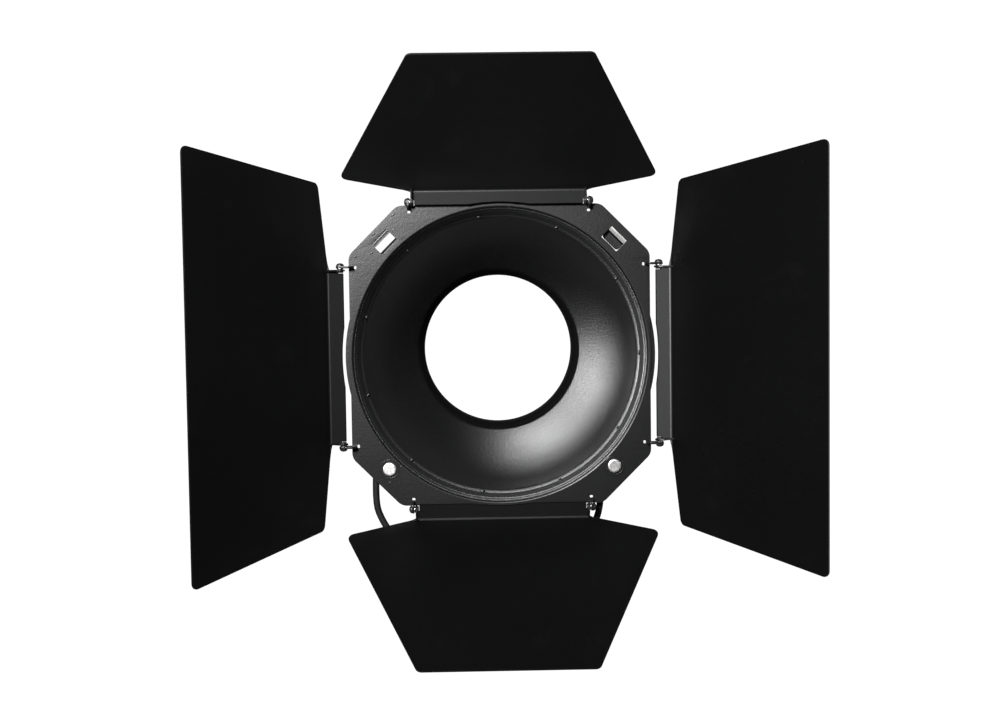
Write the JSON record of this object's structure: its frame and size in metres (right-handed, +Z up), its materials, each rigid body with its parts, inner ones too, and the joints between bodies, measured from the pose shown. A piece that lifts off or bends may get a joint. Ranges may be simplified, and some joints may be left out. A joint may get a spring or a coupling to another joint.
{
  "type": "barn door reflector",
  "caption": "Round spun reflector for a stage or studio lamp with a turning barn-door frame and folding hinged leaves round its mouth.",
  "frame": {"origin": "centre of the rear rim of the lamp collar, on the bore's axis", "axes": "+Z up; the light leaves along -Y and the collar opens along +Y; +X to the right of a viewer facing the mouth"},
  "size_m": [0.3237, 0.2146, 0.3102],
  "materials": {
    "leaf_paint": "matt black powder coat",
    "frame_paint": "fine-textured satin black powder coat",
    "reflector_paint": "grainy satin black powder coat",
    "collar_black": "satin black",
    "spring_steel": "bright spring steel",
    "bare_steel": "plated rivet",
    "hinge_rivet_black": "blackened rivet",
    "cord_black": "round elastic cord",
    "ferrule_black": "black moulded ferrule"
  },
  "bodies": {
    "reflector": {"lamp_collar": "collar_black", "collar_lugs": "collar_black", "reflector_bowl": "reflector_paint", "mouth_ring": "reflector_paint", "ring_crimps": "reflector_paint", "collar_rivets": "bare_steel"},
    "frame": {"frame_plate": "frame_paint", "drum_ring": "frame_paint", "rim_tab_upper_left": "frame_paint", "rim_tab_upper_right": "frame_paint", "rim_clip_lower_left": "spring_steel", "rim_clip_lower_right": "spring_steel", "clip_rivet_lower_left": "bare_steel", "clip_rivet_lower_right": "bare_steel", "hanging_cord": "cord_black", "cord_anchor_left": "ferrule_black", "cord_anchor_right": "ferrule_black", "hinge_rivet_top_a": "hinge_rivet_black", "hinge_washer_top_a": "spring_steel", "hinge_rivet_top_b": "hinge_rivet_black", "hinge_washer_top_b": "spring_steel", "hinge_rivet_right_a": "hinge_rivet_black", "hinge_washer_right_a": "spring_steel", "hinge_rivet_right_b": "hinge_rivet_black", "hinge_washer_right_b": "spring_steel", "hinge_rivet_bottom_a": "hinge_rivet_black", "hinge_washer_bottom_a": "spring_steel", "hinge_rivet_bottom_b": "hinge_rivet_black", "hinge_washer_bottom_b": "spring_steel", "hinge_rivet_left_a": "hinge_rivet_black", "hinge_washer_left_a": "spring_steel", "hinge_rivet_left_b": "hinge_rivet_black", "hinge_washer_left_b": "spring_steel"},
    "top_leaf": {"leaf_top": "leaf_paint"},
    "right_leaf": {"leaf_right": "leaf_paint"},
    "bottom_leaf": {"leaf_bottom": "leaf_paint"},
    "left_leaf": {"leaf_left": "leaf_paint"}
  },
  "joints": [
    {"name": "frame_turn", "type": "hinge", "parent": "reflector", "child": "frame", "pos_m": [0, -0.1, 0], "axis": [0, -1, 0], "continuous": true},
    {"name": "top_leaf_hinge", "type": "hinge", "parent": "frame", "child": "top_leaf", "pos_m": [0, -0.1095, 0.0893], "axis": [-1, 0, 0], "range_deg": [-110, 25]},
    {"name": "right_leaf_hinge", "type": "hinge", "parent": "frame", "child": "right_leaf", "pos_m": [0.0923, -0.1095, 0], "axis": [0, 0, 1], "range_deg": [-53, 59]},
    {"name": "bottom_leaf_hinge", "type": "hinge", "parent": "frame", "child": "bottom_leaf", "pos_m": [0, -0.1095, -0.0893], "axis": [1, 0, 0], "range_deg": [-76, 25]},
    {"name": "left_leaf_hinge", "type": "hinge", "parent": "frame", "child": "left_leaf", "pos_m": [-0.0923, -0.1095, 0], "axis": [0, 0, -1], "range_deg": [-50, 62]}
  ]
}
